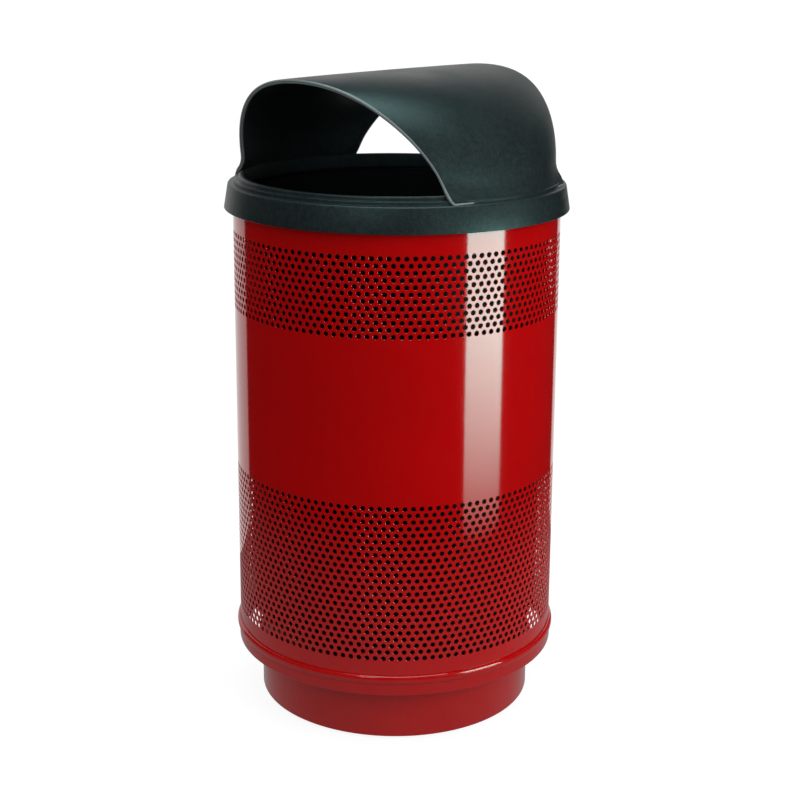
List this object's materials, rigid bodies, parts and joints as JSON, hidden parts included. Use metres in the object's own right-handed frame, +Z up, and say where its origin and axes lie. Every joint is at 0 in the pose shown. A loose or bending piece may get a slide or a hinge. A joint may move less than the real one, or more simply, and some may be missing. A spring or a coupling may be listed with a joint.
{
  "type": "round litter bin",
  "caption": "Round perforated steel litter bin on a recessed base ring, with a lift-out liner and a moulded lid whose arched hood opens at front and rear.",
  "frame": {"origin": "on the floor under the middle of the body, at the underside of the levelling feet", "axes": "+Z up, the hood's openings face -Y (front) and +Y (rear), +X to the right seen from the front"},
  "size_m": [0.5438, 0.5436, 1.0193],
  "materials": {
    "red_coat": "gloss red powder coat on steel sheet",
    "black_coat": "satin black powder coat on the hidden hoop",
    "lid_plastic": "satin, finely textured black moulded polyethylene",
    "liner_plastic": "plain black moulded plastic",
    "pad_plastic": "black nylon",
    "zinc_steel": "bright zinc plate"
  },
  "bodies": {
    "frame": {"shell": "red_coat", "top_hoop": "black_coat", "bottom_pan": "red_coat", "base_ring": "red_coat", "foot_shelf_1": "red_coat", "foot_shelf_2": "red_coat", "foot_shelf_3": "red_coat", "foot_shelf_4": "red_coat", "weld_nuts": "zinc_steel", "jam_nuts": "zinc_steel"},
    "lid": {"hooded_lid": "lid_plastic"},
    "liner": {"liner": "liner_plastic", "liner_dish": "liner_plastic"},
    "foot_1": {"foot_stud_1": "zinc_steel", "foot_pad_1": "pad_plastic"},
    "foot_2": {"foot_stud_2": "zinc_steel", "foot_pad_2": "pad_plastic"},
    "foot_3": {"foot_stud_3": "zinc_steel", "foot_pad_3": "pad_plastic"},
    "foot_4": {"foot_stud_4": "zinc_steel", "foot_pad_4": "pad_plastic"}
  },
  "joints": [
    {"name": "lid_lift", "type": "slide", "parent": "frame", "child": "lid", "axis": [0, 0, 1], "range_m": [0, 0.8]},
    {"name": "liner_lift", "type": "slide", "parent": "frame", "child": "liner", "axis": [0, 0, 1], "range_m": [0, 0.75]},
    {"name": "foot_1_level", "type": "slide", "parent": "frame", "child": "foot_1", "axis": [0, 0, -1], "range_m": [-0.004, 0.012]},
    {"name": "foot_2_level", "type": "slide", "parent": "frame", "child": "foot_2", "axis": [0, 0, -1], "range_m": [-0.004, 0.012]},
    {"name": "foot_3_level", "type": "slide", "parent": "frame", "child": "foot_3", "axis": [0, 0, -1], "range_m": [-0.004, 0.012]},
    {"name": "foot_4_level", "type": "slide", "parent": "frame", "child": "foot_4", "axis": [0, 0, -1], "range_m": [-0.004, 0.012]}
  ],
  "couplings": [
    {"joint": "liner_lift", "follows": "lid_lift", "ratio": 0.9375}
  ]
}
